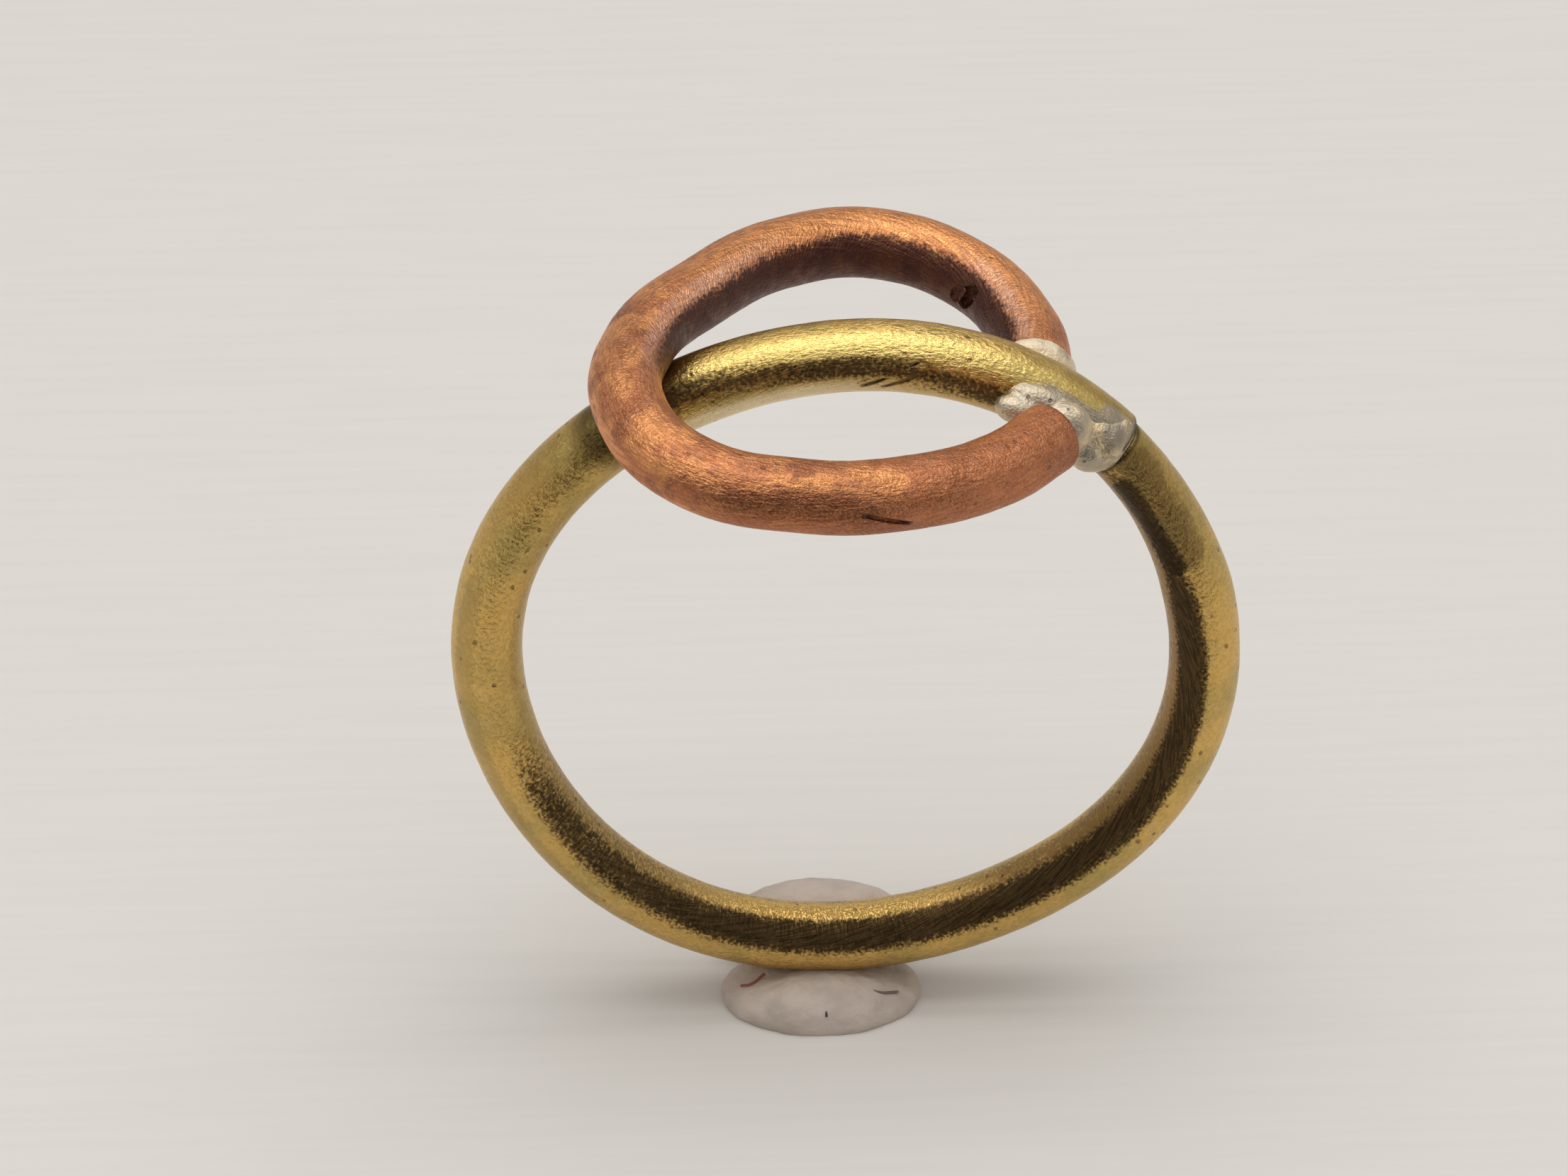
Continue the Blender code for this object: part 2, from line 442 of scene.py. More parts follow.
# The painted highlights and the painted reflection go on as coats of colour.
colour = coat(tree, colour, BOTTOM_HIGHLIGHT_GOLD, painted_bottom_highlight)
colour = coat(tree, colour, FLOOR_REFLECTION_GOLD, painted_floor_reflection)
colour = coat(tree, colour, TOP_HIGHLIGHT_GOLD, painted_top_highlight, 0.60)
print("with polished places:", len(tree.nodes), "nodes")

# %% [markdown]
# ### Dark oxide and painted reflection
#
# The thick oxide is nearly black. Its stripe sits a little further inward at the bottom than at
# the right. A second dark stripe crosses the top and turns from the front, at the left, to the
# lower side, at the joint; it is partly oxide and partly painted reflection. Fine scratches turn
# both a little brown.

# %% Brass: dark oxide and painted reflection
# This near black is oxide, dirt and pits, and also painted shade and painted reflection.
OXIDE_AND_SHADE_BLACK = (0.038, 0.025, 0.012)
RUBBED_OXIDE = (0.15, 0.09, 0.04)
FAINT_BROWN = (0.34, 0.24, 0.085)

front_stripe = blend_value(
    tree, toward(tree, place, -0.2, 0.0, -1.0, 3.0, 8.5),
    stripe(tree, wire, -26.0, 0.80, 1.0), stripe(tree, wire, -37.0, 0.78, 1.0))
left_fade = blend_value(tree, toward(tree, place, -1.0, 0.0, 0.0, 2.0, 8.0), 1.0, 0.72)
# The stripe across the top is partly oxide and partly a painted reflection of the dark things in
# front.
top_oxide_and_reflection = blend_value(
    tree, toward(tree, place, 1.0, 0.0, 0.0, -5.0, -0.5),
    stripe(tree, wire, 34.0, 0.90, 1.0), stripe(tree, wire, 15.0, 0.90, 1.0))
top_oxide_and_reflection = blend_value(
    tree, toward(tree, place, 1.0, 0.0, 0.0, 0.0, 4.0), top_oxide_and_reflection,
    stripe(tree, wire, -6.0, 0.86, 1.0))
top_oxide_and_reflection = calculate(tree, "MULTIPLY", top_oxide_and_reflection, 0.75)
# This mask is oxide on the front stripes, and oxide with painted reflection on the top stripe.
oxide = calculate(tree, "MAXIMUM", times(tree, flame_side, front_stripe, left_fade),
                  times(tree, top, top_oxide_and_reflection))
dark = roughened(tree, oxide, speckle, 0.6)
file_cuts = calculate(tree, "MAXIMUM", scratch(tree, place, *LONG_FILE_CUT, 0.12),
                      scratch(tree, place, *SHORT_FILE_CUT, 0.10))
dark = calculate(tree, "MAXIMUM", dark, calculate(tree, "MULTIPLY", file_cuts, 0.8))

left_line = times(
    tree, toward(tree, place, -1.0, 0.0, 0.0, 4.0, 8.5),
    calculate(tree, "MAXIMUM", stripe(tree, wire, 42.0, 0.90, 1.0),
              stripe(tree, wire, -72.0, 0.75, 1.0)),
    toward(tree, place, 0.0, 0.0, -1.0, -5.0, -2.0))
left_line = roughened(tree, left_line, speckle, 1.0)
fine_marks = effect(
    tree, streaks, wire, Lean=-0.25, Length=1.2 * MM, Width=0.05 * MM, Low=0.40, High=0.62)
small_pits = effect(tree, pits, wire, Spacing=0.62 * MM, Low=0.14, High=0.08)
# The dark coat is oxide, and on the top stripe also painted reflection.
skin = coat(tree, OXIDE_AND_SHADE_BLACK, RUBBED_OXIDE, fine_marks, 0.60)
colour = coat(tree, colour, FAINT_BROWN, left_line, 0.45)
colour = coat(tree, colour, skin, dark, 0.93)
colour = coat(tree, colour, OXIDE_AND_SHADE_BLACK, small_pits, 0.55)
print("with dark oxide:", len(tree.nodes), "nodes")

# %% [markdown]
# ### At the joints
#
# Shade is painted black on the brass where the loop lies on it. The brass is brown and black below
# the soldered joint, and dirty in the seam. Solder also wetted a part of its surface as a film too
# thin to model.

# %% Brass: at the joints
SOLDER_GREY = (0.55, 0.475, 0.365)
SOLDER_WARM = (0.82, 0.66, 0.42)
BURNT_BROWN = (0.15, 0.085, 0.038)

# Painted shade where the copper loop lies across the band.
painted_crossing_shade = near(tree, place, (-6.3, -0.6, 8.6), 1.0, 1.9)
joint_burn = scratch(tree, place, (7.9, -0.75, 6.7), (9.3, -0.75, 3.8), 0.85)
joint_burn = roughened(tree, joint_burn, mottle, 0.6)
joint_edge = scratch(tree, place, (7.6, -0.8, 6.0), (9.05, -0.85, 3.4), 0.50)
joint_edge = roughened(tree, joint_edge, speckle, 0.6)
along = add_node(tree, "ShaderNodeSeparateXYZ", {0: wire}).outputs["X"]
wetted = times(tree, near(tree, place, (6.1, -0.9, 8.1), 1.4, 1.8),
               stripe(tree, wire, -20.0, 0.30, 0.42))
wetted_edge = times(tree, near(tree, place, (7.2, -0.7, 7.7), 0.75, 1.0),
                    stripe(tree, wire, 12.0, 0.35, 0.50),
                    ramp(tree, along, 2.0 * MM, 1.4 * MM))
wetted = calculate(tree, "MAXIMUM", wetted, wetted_edge)
seam_dirt = calculate(
    tree, "MAXIMUM", ramp(tree, along, 0.14 * MM, 0.02 * MM),
    ramp(tree, along, BAND_LENGTH - 0.20 * MM, BAND_LENGTH - 0.04 * MM))
colour = coat(tree, colour, OXIDE_AND_SHADE_BLACK, painted_crossing_shade, 0.75)
colour = coat(tree, colour, BURNT_BROWN, joint_burn, 0.60)
colour = coat(tree, colour, OXIDE_AND_SHADE_BLACK, joint_edge, 0.85)
colour = coat(tree, colour, blend(tree, mottle, SOLDER_GREY, SOLDER_WARM), wetted)
colour = coat(tree, colour, OXIDE_AND_SHADE_BLACK, seam_dirt, 0.80)
tree.links.new(colour, shader.inputs["Base Color"])
print("with the joints:", len(tree.nodes), "nodes")

# %% Brass: how it shines
roughness = blend_value(tree, mottle, 0.26, 0.36)
roughness = blend_value(tree, dark, roughness, 0.48)
tree.links.new(roughness, shader.inputs["Roughness"])
shader.inputs["Metallic"].default_value = 1.0
relief(tree, shader, 0.014, (0.5, grain), (0.7, filed), (0.5, fine_marks),
       (0.15, mottle), (3.0, ridges), (-1.2, small_pits))
print("brass:", len(tree.nodes), "nodes")

# %% [markdown]
# ## Copper
#
# The copper has been heated and lightly sanded: bright orange patches show through a dull brown
# skin. Painted highlights run along the top of the back and in a line along the front.

# %% Copper: the bare metal
COPPER = (0.60, 0.225, 0.100)
BRIGHT_COPPER = (0.98, 0.44, 0.17)
DULL_COPPER = (0.30, 0.11, 0.056)
ROSY_COPPER = (0.82, 0.50, 0.38)

copper, tree, shader = new_material("copper")
place = object_place(tree)
wire = wire_place(tree)
cloud = effect(tree, patches, place, Size=1.7 * MM, Detail=6.0, Low=0.42, High=0.66)
shine = effect(tree, patches, wire, Size=0.9 * MM, Detail=6.0, Low=0.44, High=0.58)
mottle = effect(tree, patches, wire, Size=0.30 * MM, Detail=4.0, Low=0.35, High=0.70)
back_and_left = times(tree, shine, toward(tree, place, -0.6, 0.8, 0.0, -5.5, 1.0))
# Painted highlight along the top of the back of the loop.
painted_back_highlight = times(tree, toward(tree, place, 0.0, 1.0, 0.0, 1.0, 4.0),
                 stripe(tree, wire, -5.0, 0.72, 0.96))
front_left = times(tree, shine, near(tree, place, (-4.9, -5.6, 10.4), 0.8, 2.6))
# Painted highlight in a line along the top of the front of the loop.
painted_front_highlight = scratch(tree, place, (-2.61, -6.67, 11.00), (0.90, -6.10, 10.38), 0.9)
painted_front_highlight = times(tree, painted_front_highlight, shine)
# Sanded patches and painted highlights together.
shining = back_and_left
for patch in (painted_back_highlight, front_left, painted_front_highlight):
    shining = calculate(tree, "MAXIMUM", shining, patch)

colour = coat(tree, COPPER, DULL_COPPER, cloud, 0.80)
colour = coat(tree, colour, ROSY_COPPER, mottle, 0.16)
colour = coat(tree, colour, BRIGHT_COPPER, shining, 0.85)
print("bare copper:", len(tree.nodes), "nodes")

# %% [markdown]
# ### Scratches and oxide on the copper
#
# Sandpaper left fine lines along the wire and across it. The inner side of the back of the loop
# was out of its reach and kept a dark purple oxide, with a pale rosy rim where the two meet.

# %% Copper: scratches and oxide
PURPLE_OXIDE = (0.060, 0.026, 0.026)

grain = effect(tree, patches, wire, Size=0.08 * MM, Detail=2.0, Low=0.30, High=0.70)
sanding = effect(
    tree, streaks, wire, Lean=0.20, Length=2.4 * MM, Width=0.09 * MM, Low=0.42, High=0.62)
cross_marks = effect(
    tree, streaks, wire, Lean=-0.9, Length=0.9 * MM, Width=0.05 * MM, Low=0.46, High=0.64)
small_pits = effect(tree, pits, wire, Spacing=0.7 * MM, Low=0.13, High=0.07)
speckle = effect(tree, patches, wire, Size=0.12 * MM, Detail=5.0, Low=0.25, High=0.75)
inner_side = stripe(tree, wire, -95.0, 0.42, 0.85)
back_part = toward(tree, place, -0.25, 1.0, 0.0, -2.2, 1.2)
oxide = roughened(tree, times(tree, inner_side, back_part), speckle, 0.7)
rim_ends = calculate(tree, "MAXIMUM", toward(tree, place, 1.0, 0.0, 0.0, 3.0, 4.6),
                     toward(tree, place, -1.0, 0.0, 0.0, 1.0, 3.5))
rim = times(tree, stripe(tree, wire, -45.0, 0.80, 0.97), back_part, speckle, rim_ends)
# A darker line is painted along the lower front of the front of the loop.
front_dark_line = scratch(tree, place, (-3.47, -7.20, 10.52), (-0.27, -7.00, 10.16), 0.30)
front_dark_line = roughened(tree, front_dark_line, speckle, 0.6)
gouge = roughened(tree, scratch(tree, place, *LOOP_GOUGE, 0.12), speckle, 0.5)

colour = coat(tree, colour, DULL_COPPER, sanding, 0.45)
colour = coat(tree, colour, BRIGHT_COPPER, cross_marks, 0.35)
colour = coat(tree, colour, DULL_COPPER, grain, 0.25)
colour = coat(tree, colour, ROSY_COPPER, rim)
colour = coat(tree, colour, PURPLE_OXIDE, oxide, 0.90)
colour = coat(tree, colour, DULL_COPPER, front_dark_line, 0.50)
colour = coat(tree, colour, PURPLE_OXIDE, gouge, 0.75)
colour = coat(tree, colour, PURPLE_OXIDE, small_pits, 0.40)
tree.links.new(colour, shader.inputs["Base Color"])
print("with oxide:", len(tree.nodes), "nodes")

# %% Copper: how it shines
roughness = blend_value(tree, shining, 0.44, 0.32)
roughness = blend_value(tree, mottle, roughness, 0.50)
tree.links.new(roughness, shader.inputs["Roughness"])
shader.inputs["Metallic"].default_value = 1.0
relief(tree, shader, 0.012, (0.8, grain), (0.7, sanding), (0.6, cross_marks),
       (0.8, mottle), (-1.2, small_pits))
print("copper:", len(tree.nodes), "nodes")

# %% [markdown]
# ## Silver solder
#
# Solder is a grey white alloy that ran where it was hot and froze lumpy. It keeps a warm tint
# from the brass, some white crust of flux, and dark pits. A file left one flat grey facet.

# %% Solder
FLUX_WHITE = (0.80, 0.70, 0.54)
FACET_GREY = (0.30, 0.26, 0.22)
PIT_BLACK = (0.07, 0.055, 0.04)

solder, tree, shader = new_material("silver_solder")
place = object_place(tree)
cloud = effect(tree, patches, place, Size=0.9 * MM, Detail=4.0, Low=0.42, High=0.60)
crust = effect(tree, patches, place, Size=0.30 * MM, Detail=5.0, Low=0.54, High=0.72)
grain = effect(tree, patches, place, Size=0.07 * MM, Detail=3.0, Low=0.30, High=0.70)
small_pits = effect(tree, pits, place, Spacing=0.50 * MM, Low=0.16, High=0.08)
flux_edge = toward(tree, place, 0.0, 1.0, 0.45, 2.4, 3.6)
crusty = calculate(tree, "MAXIMUM", crust, times(tree, flux_edge, cloud))
facet = near(tree, place, (7.35, -0.95, 7.9), 0.25, 0.60)

colour = blend(tree, cloud, SOLDER_GREY, SOLDER_WARM)
colour = coat(tree, colour, FLUX_WHITE, crusty, 0.80)
colour = coat(tree, colour, FACET_GREY, facet, 0.75)
colour = coat(tree, colour, PIT_BLACK, small_pits, 0.60)
tree.links.new(colour, shader.inputs["Base Color"])
tree.links.new(blend_value(tree, crusty, 0.46, 0.62), shader.inputs["Roughness"])
tree.links.new(blend_value(tree, crusty, 1.0, 0.55), shader.inputs["Metallic"])
relief(tree, shader, 0.018, (0.5, grain), (0.9, crust), (-1.5, small_pits))
print("solder:", len(tree.nodes), "nodes")

# %% [markdown]
# ## Working as by hand
#
# The pieces are modelled with the operators that the menus call. Operators act on whatever is
# selected, so small helpers clear the selection and make one object active. Loaded CAD nodes
# would otherwise be edited along with a new piece.


# %% Selection helpers
def deselect_all():
    """Leave edit mode and clear the selection."""
    if bpy.context.mode != "OBJECT":
        bpy.ops.object.mode_set(mode="OBJECT")
    bpy.ops.object.select_all(action="DESELECT")


def select(piece):
    """Make one object the only selected one, and active."""
    deselect_all()
    piece.select_set(True)
    bpy.context.view_layer.objects.active = piece


def apply_modifiers(piece):
    """Turn all modifiers into mesh, from the first to the last."""
    select(piece)
    for modifier in list(piece.modifiers):
        bpy.ops.object.modifier_apply(modifier=modifier.name)


def settle(piece):
    """Apply the object's place, turn and scale, so that its mesh holds them."""
    select(piece)
    bpy.ops.object.transform_apply(location=True, rotation=True, scale=True)


def join(pieces):
    """Join objects into the first one."""
    select(pieces[0])
    for piece in pieces[1:]:
        piece.select_set(True)
    bpy.ops.object.join()
    return pieces[0]


def finish_piece(piece, name, material, slot, *nodes):
    """Name a finished piece, give it its metal, and let it ride on the ring's only body."""
    piece.name = name
    piece.data.name = name
    piece.data.materials.clear()
    piece.data.materials.append(material)
    piece.data.shade_smooth()
    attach(piece, "root")
    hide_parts(*nodes)
    print(name, len(piece.data.polygons), "faces")


# %% [markdown]
# ## Uneven surfaces
#
# Wire that was bent with pliers and sanded by hand is nowhere quite round. Sculpting brushes
# could show that, but not the same way twice. A Displace modifier pushes the surface in and out
# by a noise texture instead, and a broad and a fine one together take away the roundness that
# only a machine gives.


# %% Uneven surface
def uneven(piece, *layers):
    """Push the surface by cloud noise; each layer is a size and a strength in millimetres."""
    for size, strength in layers:
        texture = bpy.data.textures.new("unevenness", "CLOUDS")
        texture.noise_scale = size * MM
        texture.noise_depth = 2
        modifier = piece.modifiers.new("unevenness", "DISPLACE")
        modifier.texture = texture
        modifier.texture_coords = "LOCAL"
        modifier.strength = strength * MM
        modifier.mid_level = 0.5
    apply_modifiers(piece)


# %% [markdown]
# ## Nicks and scratches
#
# A slip of the pliers or the file leaves a sharp cut. A bump in the material would vanish at the
# wire's outline, so each cut is real: a small wedge, a coarse ball drawn out to two points, is
# taken away from the wire by a Boolean modifier.


# %% Cutting with wedges
def wedge(start, end, width):
    """A thin double-ended wedge between two points in millimetres."""
    first = Vector(start) * MM
    last = Vector(end) * MM
    deselect_all()
    bpy.ops.mesh.primitive_uv_sphere_add(segments=6, ring_count=6, radius=0.5)
    piece = bpy.context.object
    span = last - first
    piece.location = 0.5 * (first + last)
    piece.rotation_euler = span.to_track_quat("Z", "Y").to_euler()
    piece.scale = (width * MM, width * MM, span.length)
    settle(piece)
    return piece


def cut_away(piece, cutters):
    """Take one joined cutter away from the piece."""
    cutter = join(cutters)
    modifier = piece.modifiers.new("cuts", "BOOLEAN")
    modifier.operation = "DIFFERENCE"
    modifier.solver = "MANIFOLD"
    modifier.object = cutter
    apply_modifiers(piece)
    bpy.data.objects.remove(cutter, do_unlink=True)


# %% [markdown]
# ## Wire
#
# A torus would do for a perfect band, but not for the loop, nor for a band that is filed thinner
# at one end. So a bent wire is a curve with a round bevel, whose points each have their own
# radius. It is turned into a mesh at once, because the edges of its ends are rounded by a bevel
# and its surface is dented afterwards.

# %% Wire from a centre line
WIRE_SIDES_LEVEL = 32


def sweep_wire(name, centres, radii):
    """A closed round wire mesh through the centres, thinner or thicker by radii."""
    deselect_all()
    bpy.ops.curve.primitive_bezier_curve_add()
    piece = bpy.context.object
    piece.name = name
    curve = piece.data
    curve.splines.clear()
    line = curve.splines.new("POLY")
    line.points.add(len(centres) - 1)
    for point, centre, radius in zip(line.points, centres, radii):
        point.co = (*centre, 1.0)
        point.radius = radius / WIRE_RADIUS
    curve.dimensions = "3D"
    curve.bevel_depth = WIRE_RADIUS
    curve.bevel_resolution = WIRE_SIDES_LEVEL
    curve.use_fill_caps = True
    select(piece)
    bpy.ops.object.convert(target="MESH")
    bpy.ops.object.mode_set(mode="EDIT")
    bpy.ops.mesh.select_all(action="SELECT")
    bpy.ops.mesh.remove_doubles(threshold=0.0001 * MM)
    bpy.ops.mesh.normals_make_consistent(inside=False)
    bpy.ops.object.mode_set(mode="OBJECT")
    return piece


def round_ends(piece, width):
    """Break the sharp edge of both filed ends."""
    select(piece)
    for edge in piece.data.edges:
        edge.select = False
    for face in piece.data.polygons:
        face.select = len(face.vertices) > 4
    bpy.ops.object.mode_set(mode="EDIT")
    bpy.ops.mesh.select_mode(type="FACE")
    bpy.ops.mesh.region_to_loop()
    bpy.ops.mesh.bevel(offset=width, segments=5, profile=0.5)
    bpy.ops.object.mode_set(mode="OBJECT")


def straighten(piece, centres, side):
    """Store each vertex's place on the wire as if it were straight."""
    tree = KDTree(len(centres))
    along = [0.0]
    for index, centre in enumerate(centres):
        tree.insert(centre, index)
        if index:
            along.append(along[-1] + (centre - centres[index - 1]).length)
    tree.balance()
    layer = piece.data.attributes.new("straight", "FLOAT_VECTOR", "POINT")
    last = len(centres) - 1
    for vertex, value in zip(piece.data.vertices, layer.data):
        _, index, _ = tree.find(vertex.co)
        before = centres[max(0, index - 1)]
        after = centres[min(last, index + 1)]
        tangent = (after - before).normalized()
        outward = tangent.cross(side)
        offset = vertex.co - centres[index]
        value.vector = (
            along[index] + offset.dot(tangent),
            offset.dot(outward),
            offset.dot(side),
        )


# %% [markdown]
# ## The brass band
#
# The band goes round the finger. It is not a true circle: bending by hand leaves it slightly
# square, which a wave with four crests gives to the radius. One end keeps the wire's full
# thickness, and the other was filed thinner before the two were soldered.

# %% Brass band
BAND_STEPS = 560


def band_point(angle):
    """The middle of the wire at an angle from the right, in metres."""
    radius = BAND_RADIUS - BENDING_ERROR * math.sin(4.0 * angle)
    return Vector((radius * math.cos(angle), 0.0, radius * math.sin(angle)))


def filed_radius(angle):
    """The wire's radius, which shrinks toward the band's filed end."""
    along = max(0.0, (angle - (SEAM_ANGLE + 2.0 * math.pi - FILED_LENGTH)) / FILED_LENGTH)
    depth = 1.0 - (1.0 - along) ** 2
    return WIRE_RADIUS - depth * (WIRE_RADIUS - FILED_END_RADIUS)


half_seam = 0.5 * SEAM_WIDTH / BAND_RADIUS
band_sweep = 2.0 * math.pi - 2.0 * half_seam
band_angles = [SEAM_ANGLE + half_seam + band_sweep * i / BAND_STEPS for i in range(BAND_STEPS + 1)]
band_centres = [band_point(angle) for angle in band_angles]
band = sweep_wire("band_wire", band_centres, [filed_radius(angle) for angle in band_angles])
round_ends(band, 0.14 * MM)
uneven(band, (1.3, 0.025), (0.35, 0.008), (0.16, 0.002))
cut_away(band, [
    wedge(*LONG_FILE_CUT, 0.18),
    wedge(*SHORT_FILE_CUT, 0.15),
    wedge((0.10, -0.97, 9.75), (0.75, -0.95, 10.12), 0.08),
    wedge((-8.95, -0.99, 4.45), (-8.72, -1.00, 4.68), 0.10),
    wedge((-9.85, -1.02, 0.60), (-9.80, -1.02, 0.78), 0.09),
])
straighten(band, band_centres, Vector((0.0, -1.0, 0.0)))
finish_piece(band, "band_wire", brass, "brass", "brass_band")

# %% [markdown]
# ## The copper loop
#
# The loop is bent flat in its own plane, which leans to the right. Its route is a smooth curve
# through the CAD design's points. Pliers left nicks on the inner side of the back and one long
# gouge on the front.

# %% Copper loop
LOOP_STEPS = 24


def smooth_route(points, steps):
    """Points along a smooth curve through the given ones, which a Bezier curve object works out."""
    deselect_all()
    bpy.ops.curve.primitive_bezier_curve_add()
    guide = bpy.context.object
    guide.data.splines.clear()
    line = guide.data.splines.new("BEZIER")
    line.bezier_points.add(len(points) - 1)
    line.resolution_u = steps
    for knot, point in zip(line.bezier_points, points):
        knot.co = point
        knot.handle_left_type = "AUTO"
        knot.handle_right_type = "AUTO"
    select(guide)
    bpy.ops.object.convert(target="MESH")
    route = [vertex.co.copy() for vertex in guide.data.vertices]
    bpy.data.objects.remove(guide, do_unlink=True)
    return route


loop_place = Matrix.Translation((0.0, 0.0, LOOP_HEIGHT)) @ Matrix.Rotation(LOOP_TILT, 4, "Y")
loop_flat = [Vector((across * MM, along * MM, 0.0)) for across, along in LOOP_POINTS]
loop_centres = [loop_place @ point for point in smooth_route(loop_flat, LOOP_STEPS)]
loop = sweep_wire("loop_wire", loop_centres, [WIRE_RADIUS] * len(loop_centres))
round_ends(loop, 0.20 * MM)
uneven(loop, (1.2, 0.022), (0.32, 0.012), (0.15, 0.006))
cut_away(loop, [
    wedge((3.14, 4.82, 8.62), (3.36, 4.30, 9.62), 0.50),
    wedge((3.44, 4.66, 8.55), (3.66, 4.10, 9.60), 0.58),
    wedge((3.66, 4.36, 9.06), (4.36, 4.02, 9.06), 0.34),
    wedge((0.40, 5.45, 9.50), (0.62, 5.42, 9.95), 0.20),
    wedge(*LOOP_GOUGE, 0.22),
])
straighten(loop, loop_centres, (loop_place.to_3x3() @ Vector((0.0, 0.0, 1.0))).normalized())
finish_piece(loop, "loop_wire", copper, "copper", "copper_loop")

# %% [markdown]
# ## Solder
#
# Solder pools in the corners between the wires. It could be modelled face by face, but melted
# metal has no corners to start from. Each pool is therefore a heap of squashed balls that the
# Remesh modifier melts into one skin; smoothing and noise then make it look frozen in place.
# Small balls are cut out of it where gas bubbles left pits. The seam's film is a thin disc with
# rounded edges between the band's two ends.

# %% Solder helpers
SOLDER_VOXEL = 0.045 * MM


def ball(centre, radii, turn=0.0, lean=0.0):
    """A squashed ball in millimetres, turned about the finger's axis and leaned to the front."""
    deselect_all()
    bpy.ops.mesh.primitive_uv_sphere_add(segments=32, ring_count=20, radius=1.0)
    piece = bpy.context.object
    piece.location = Vector(centre) * MM
    piece.rotation_euler = (math.radians(lean), math.radians(turn), 0.0)
    piece.scale = Vector(radii) * MM
    settle(piece)
    return piece


def melt(name, balls, voxel, layers):
    """Melt balls into one lumpy skin."""
    lump = join(balls)
    lump.name = name
    remesh = lump.modifiers.new("melt", "REMESH")
    remesh.mode = "VOXEL"
    remesh.voxel_size = voxel
    smooth = lump.modifiers.new("flow", "SMOOTH")
    smooth.factor = 0.5
    smooth.iterations = 6
    apply_modifiers(lump)
    uneven(lump, *layers)
    return lump


# %% Front joint
front_solder = melt("front_solder", [
    ball((5.95, -0.30, 7.98), (1.45, 0.92, 0.93), turn=36.0),
    ball((6.55, -0.30, 7.52), (1.15, 0.92, 0.93), turn=41.0),
    ball((6.85, -0.26, 7.30), (0.80, 0.96, 0.98), turn=44.0),
    ball((6.98, -0.14, 7.32), (0.42, 0.97, 0.96), turn=44.0),
    ball((5.80, -1.22, 8.35), (0.85, 0.60, 0.82)),
    ball((5.25, -0.86, 9.02), (1.05, 0.48, 0.46), turn=26.0),
    ball((4.62, -1.20, 9.00), (0.72, 0.46, 0.42), turn=20.0),
    ball((6.35, -0.90, 7.50), (0.95, 0.45, 0.52), turn=35.0),
], SOLDER_VOXEL, [(0.55, 0.055), (0.25, 0.025), (0.11, 0.012)])
cut_away(front_solder, [
    ball((7.36, -1.10, 7.95), (0.10, 0.10, 0.08)),
    ball((7.20, -1.16, 7.80), (0.07, 0.08, 0.06)),
    ball((6.85, -1.25, 7.95), (0.06, 0.08, 0.05)),
    wedge((6.05, -1.62, 7.90), (7.10, -1.20, 7.42), 0.07),
    wedge((6.80, -1.30, 7.55), (7.45, -1.02, 7.15), 0.09),
])
finish_piece(front_solder, "front_solder", solder, "solder", "front_joint_solder")

# %% Back joint
back_solder = melt("back_solder", [
    ball((5.20, 1.10, 8.70), (1.20, 0.55, 1.00), turn=20.0),
    ball((5.25, 1.25, 9.00), (0.75, 0.55, 0.55), turn=25.0),
], SOLDER_VOXEL, [(0.45, 0.08), (0.16, 0.03)])
finish_piece(back_solder, "back_solder", solder, "solder", "back_joint_solder")

# %% Seam
seam_point = band_point(SEAM_ANGLE)
deselect_all()
bpy.ops.mesh.primitive_cylinder_add(
    vertices=64,
    radius=0.85 * MM,
    depth=SEAM_WIDTH + 0.04 * MM,
    location=seam_point,
    rotation=(0.0, -SEAM_ANGLE, 0.0),
)
seam_fill = bpy.context.object
settle(seam_fill)
select(seam_fill)
bpy.ops.object.mode_set(mode="EDIT")
bpy.ops.mesh.select_all(action="SELECT")
bpy.ops.mesh.bevel(offset=0.03 * MM, segments=3, affect="EDGES")
bpy.ops.object.mode_set(mode="OBJECT")
uneven(seam_fill, (0.30, 0.05))
finish_piece(seam_fill, "seam_fill", solder, "solder", "seam_solder")

# %% [markdown]
# ## The stage
#
# The ring stands in a small lump of putty on pale paper, and a few hairs are caught in the
# putty. None of them belongs to the ring, and the putty's name says stage.

# %% Floor
FLOOR_HEIGHT = -12.0 * MM
PAPER = (0.675, 0.656, 0.634)
PAPER_FIBRE = (0.695, 0.676, 0.654)

deselect_all()
bpy.ops.mesh.primitive_plane_add(size=2.0, location=(0.0, 0.0, FLOOR_HEIGHT))
floor = bpy.context.object
floor.name = "floor"
paper, tree, shader = new_material("floor_paper")
place = object_place(tree)
fibres = add_node(tree, "ShaderNodeMapping", {"Vector": place, "Scale": (120.0, 2500.0, 1.0)})
noise = effect(tree, patches, fibres.outputs["Vector"], Size=1.0, Detail=2.0, Low=0.2, High=0.8)
tree.links.new(blend(tree, noise, PAPER, PAPER_FIBRE), shader.inputs["Base Color"])
shader.inputs["Roughness"].default_value = 0.85
floor.data.materials.append(paper)
print("floor at", round(FLOOR_HEIGHT / MM, 1), "mm")

# %% Putty
PUTTY_PINK = (0.56, 0.475, 0.415)
PUTTY_GREY = (0.45, 0.38, 0.33)

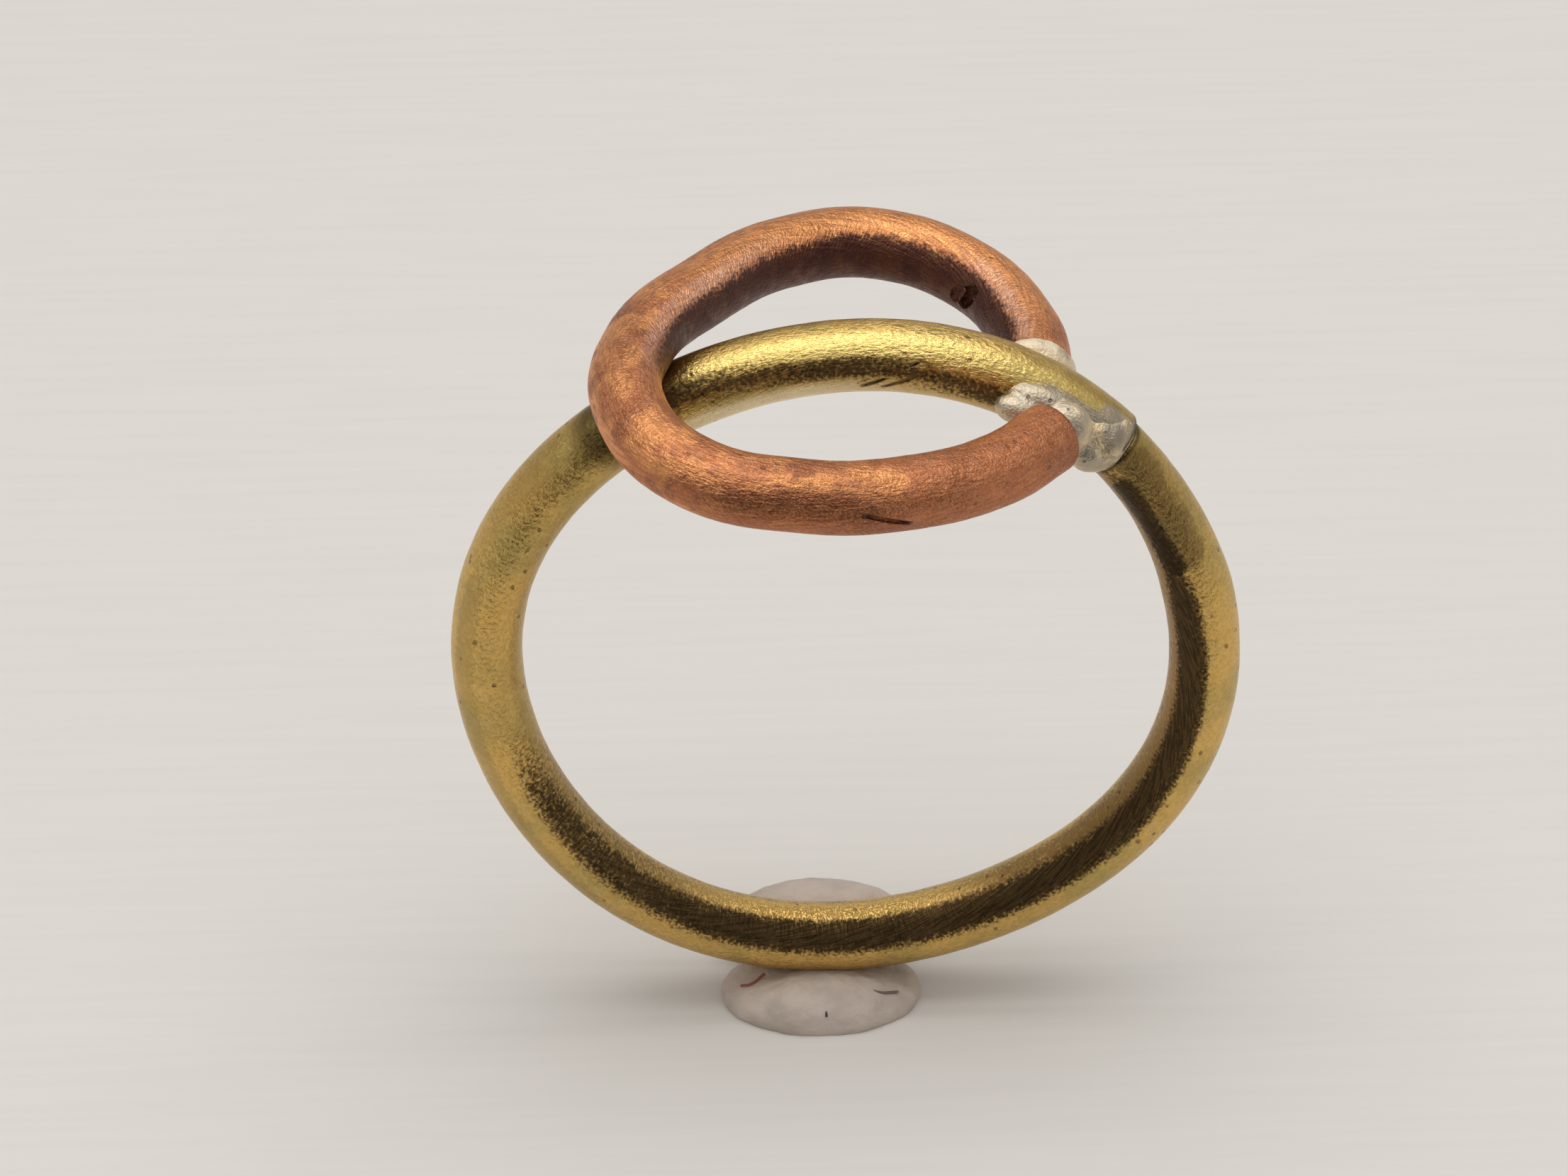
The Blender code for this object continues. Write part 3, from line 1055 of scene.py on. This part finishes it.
putty, tree, shader = new_material("putty")
place = object_place(tree)
cloud = effect(tree, patches, place, Size=1.2 * MM, Detail=3.0, Low=0.35, High=0.70)
tree.links.new(blend(tree, cloud, PUTTY_PINK, PUTTY_GREY), shader.inputs["Base Color"])
shader.inputs["Roughness"].default_value = 0.6
grain = effect(tree, patches, place, Size=0.25 * MM, Detail=4.0, Low=0.3, High=0.7)
relief(tree, shader, 0.02, (1.0, grain))
putty_lump = melt("stage_putty", [
    ball((-0.70, -0.30, -11.85), (2.92, 2.00, 0.92)),
    ball((-0.70, -0.95, -11.70), (2.20, 1.30, 0.90)),
    ball((-0.72, 1.95, -11.15), (2.72, 1.40, 1.25)),
], 0.09 * MM, [(0.9, 0.12), (0.3, 0.03)])
putty_lump.data.materials.append(putty)
putty_lump.data.shade_smooth()
print("putty", len(putty_lump.data.polygons), "faces")

# %% Hairs in the putty
HAIR_BED = Vector((-0.72, -0.25, -11.83))
HAIR_BED_RADII = Vector((3.05, 2.20, 0.94))


def bed_height(x, y):
    """How high the front of the putty is at a place, in millimetres."""
    across = (x - HAIR_BED.x) / HAIR_BED_RADII.x
    along = (y - HAIR_BED.y) / HAIR_BED_RADII.y
    rise = math.sqrt(max(1.0 - across ** 2 - along ** 2, 0.0))
    return HAIR_BED.z + HAIR_BED_RADII.z * rise


def putty_hair(name, colour, points):
    """A fine hair pressed into the front of the putty, through points given in millimetres."""
    deselect_all()
    bpy.ops.curve.primitive_bezier_curve_add()
    hair = bpy.context.object
    hair.name = name
    hair.data.splines.clear()
    line = hair.data.splines.new("BEZIER")
    line.bezier_points.add(len(points) - 1)
    for knot, (x, y) in zip(line.bezier_points, points):
        knot.co = Vector((x, y, bed_height(x, y))) * MM
        knot.handle_left_type = "AUTO"
        knot.handle_right_type = "AUTO"
    hair.data.bevel_depth = 0.035 * MM
    material, _, shader = new_material(name)
    shader.inputs["Base Color"].default_value = (*colour, 1.0)
    hair.data.materials.append(material)


putty_hair("red_hair", (0.30, 0.07, 0.05), [(-3.05, -0.75), (-2.75, -0.80), (-2.35, -0.50)])
putty_hair("black_hair", (0.03, 0.03, 0.04), [(-0.62, -2.15), (-0.62, -1.75), (-0.40, -1.30)])
putty_hair("short_hair", (0.05, 0.05, 0.07), [(-0.66, -1.45), (-0.58, -1.75), (-0.38, -1.60)])
putty_hair("pale_hair", (0.16, 0.12, 0.10), [(0.35, -1.05), (0.85, -1.30), (1.50, -1.15)])

# %% [markdown]
# ## Light
#
# Satin metal is mostly a picture of what stands around it. A softbox straight above draws the
# bright line along the top of each wire. A dark card stands low in front: only its reflection
# counts, so it is hidden from the camera and throws no shadow. Everything else is pale and even,
# and the sky grows lighter toward its top.
# %% Softbox
softbox = bpy.data.lights.new("overhead_softbox", "AREA")
softbox.shape = "RECTANGLE"
softbox.size = 400.0 * MM
softbox.size_y = 170.0 * MM
softbox.energy = 0.53
softbox.color = (1.0, 0.985, 0.955)
overhead = bpy.data.objects.new("overhead_softbox", softbox)
bpy.context.scene.collection.objects.link(overhead)
overhead.location = Vector((0.0, 10.0, 300.0)) * MM
overhead.rotation_euler = (-overhead.location).to_track_quat("-Z", "Y").to_euler()
print("softbox", round(softbox.size / MM), "x", round(softbox.size_y / MM), "mm")

# %% Dark card
deselect_all()
bpy.ops.mesh.primitive_plane_add(
    size=1.0, location=Vector((4.0, -30.0, 5.0)) * MM, rotation=(math.radians(90.0), 0.0, 0.0))
card = bpy.context.object
card.name = "dark_card"
card.scale = Vector((60.0, 34.0, 1.0)) * MM
card_black, tree, shader = new_material("card_black")
shader.inputs["Base Color"].default_value = (0.02, 0.018, 0.015, 1.0)
shader.inputs["Roughness"].default_value = 1.0
card.data.materials.append(card_black)
card.visible_camera = False
card.visible_shadow = False
card.visible_diffuse = False
print("dark card", tuple(round(side / MM) for side in card.scale[:2]), "mm")

# %% Sky
HORIZON = (0.36, 0.35, 0.33)
ZENITH = (0.72, 0.705, 0.68)
BACKDROP = (0.75, 0.735, 0.71)

world = bpy.data.worlds.new("studio")
bpy.context.scene.world = world
world.use_nodes = True
tree = world.node_tree
background = tree.nodes["Background"]
direction = tree.nodes.new("ShaderNodeTexCoord").outputs["Generated"]
height = add_node(tree, "ShaderNodeSeparateXYZ", {0: direction}).outputs["Z"]
sky = blend(tree, ramp(tree, height, 0.1, 0.85), HORIZON, ZENITH)
seen = tree.nodes.new("ShaderNodeLightPath").outputs["Is Camera Ray"]
tree.links.new(blend(tree, seen, sky, BACKDROP), background.inputs["Color"])
bpy.context.scene.view_settings.view_transform = "Standard"
print("sky", len(tree.nodes), "nodes")

# %% End
print("scene ready")
